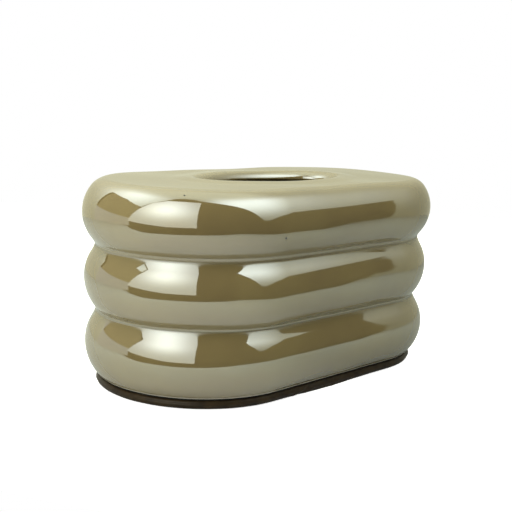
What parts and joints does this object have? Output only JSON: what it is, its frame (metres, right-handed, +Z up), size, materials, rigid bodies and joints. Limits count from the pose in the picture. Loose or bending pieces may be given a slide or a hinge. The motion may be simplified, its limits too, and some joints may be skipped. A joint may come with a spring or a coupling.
{
  "type": "tissue box cover",
  "caption": "Long rounded ceramic tissue box cover with stacked bulging sides and an oval opening in its flat top, standing loose on a wrapped base board that it lifts off.",
  "frame": {"origin": "on the table, under the middle of the base", "axes": "+X along the cover's length, +Y across it, +Z up; the cover looks the same from both long sides and from both ends"},
  "size_m": [0.2474, 0.142, 0.1208],
  "materials": {
    "pearl_glaze": "glossy olive-beige pearl lustre glaze",
    "leatherette": "smooth dark brown coated leatherette, semi-gloss",
    "base_board": "medium density fibreboard",
    "locating_board": "medium density fibreboard, sawn edge",
    "foam": "black closed-cell foam strip",
    "lining_felt": "dark brown needle felt",
    "underside_felt": "black needle felt"
  },
  "bodies": {
    "base": {"base_board": "base_board", "base_wrap": "leatherette", "locating_board": "locating_board", "lining_felt": "lining_felt", "underside_felt": "underside_felt", "seat_gasket": "foam"},
    "cover": {"ceramic_cover": "pearl_glaze"}
  },
  "joints": [
    {"name": "cover_lift", "type": "slide", "parent": "base", "child": "cover", "axis": [0, 0, 1], "range_m": [0, 0.13]}
  ]
}
